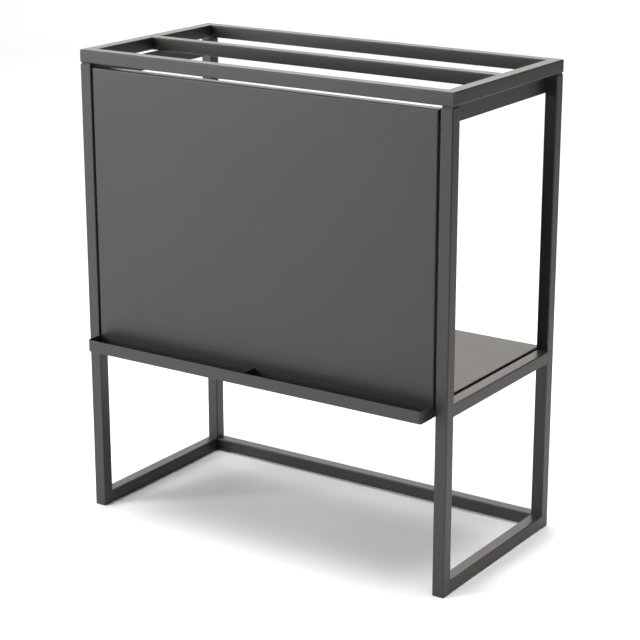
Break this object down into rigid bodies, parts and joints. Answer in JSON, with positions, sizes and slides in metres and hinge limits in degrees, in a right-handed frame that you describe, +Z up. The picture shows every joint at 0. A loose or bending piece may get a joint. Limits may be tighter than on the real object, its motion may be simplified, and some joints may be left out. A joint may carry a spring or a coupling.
{
  "type": "flap-front storage stand",
  "caption": "Free-standing open frame of square steel tube with a shelf, an open top frame and a hinged front panel that carries a narrow ledge.",
  "frame": {"origin": "on the floor, below the middle of the overall box, ledge included", "axes": "+Z up; -Y is the front, the side with the flap and its ledge; +X is on the right of someone facing the front"},
  "size_m": [0.66, 0.363, 0.75],
  "materials": {
    "tube_coat": "satin black powder coat with a fine texture",
    "sheet_coat": "satin black powder coat on sheet steel",
    "nylon": "matt black moulded nylon",
    "zinc": "zinc-plated steel",
    "rubber": "matt black rubber"
  },
  "bodies": {
    "frame": {"front_left_glide": "nylon", "front_left_post": "tube_coat", "front_left_post_plug": "nylon", "front_left_rivet_nut": "zinc", "front_left_shelf_screw": "zinc", "front_left_shelf_spacer": "nylon", "front_right_glide": "nylon", "front_right_post": "tube_coat", "front_right_post_plug": "nylon", "front_right_rivet_nut": "zinc", "front_right_shelf_screw": "zinc", "front_right_shelf_spacer": "nylon", "left_bumper": "rubber", "left_floor_rail": "tube_coat", "left_mid_rail": "tube_coat", "left_pivot_bush": "nylon", "left_side_plate": "tube_coat", "left_stop_pin": "zinc", "rear_floor_rail": "tube_coat", "rear_left_glide": "nylon", "rear_left_post": "tube_coat", "rear_left_post_plug": "nylon", "rear_left_rivet_nut": "zinc", "rear_left_shelf_screw": "zinc", "rear_left_shelf_spacer": "nylon", "rear_right_glide": "nylon", "rear_right_post": "tube_coat", "rear_right_post_plug": "nylon", "rear_right_rivet_nut": "zinc", "rear_right_shelf_screw": "zinc", "rear_right_shelf_spacer": "nylon", "right_bumper": "rubber", "right_floor_rail": "tube_coat", "right_mid_rail": "tube_coat", "right_pivot_bush": "nylon", "right_side_plate": "tube_coat", "right_stop_pin": "zinc", "shelf": "sheet_coat", "top_front_rail": "tube_coat", "top_left_rail": "tube_coat", "top_middle_rail": "tube_coat", "top_rear_rail": "tube_coat", "top_right_rail": "tube_coat"},
    "flap": {"flap_panel": "sheet_coat", "flap_ledge": "sheet_coat", "flap_divider": "sheet_coat", "left_pivot_pin": "zinc", "right_pivot_pin": "zinc"}
  },
  "joints": [
    {"name": "flap_lift", "type": "hinge", "parent": "frame", "child": "flap", "pos_m": [0, -0.1385, 0.713], "axis": [-1, 0, 0], "range_deg": [0, 90]}
  ]
}
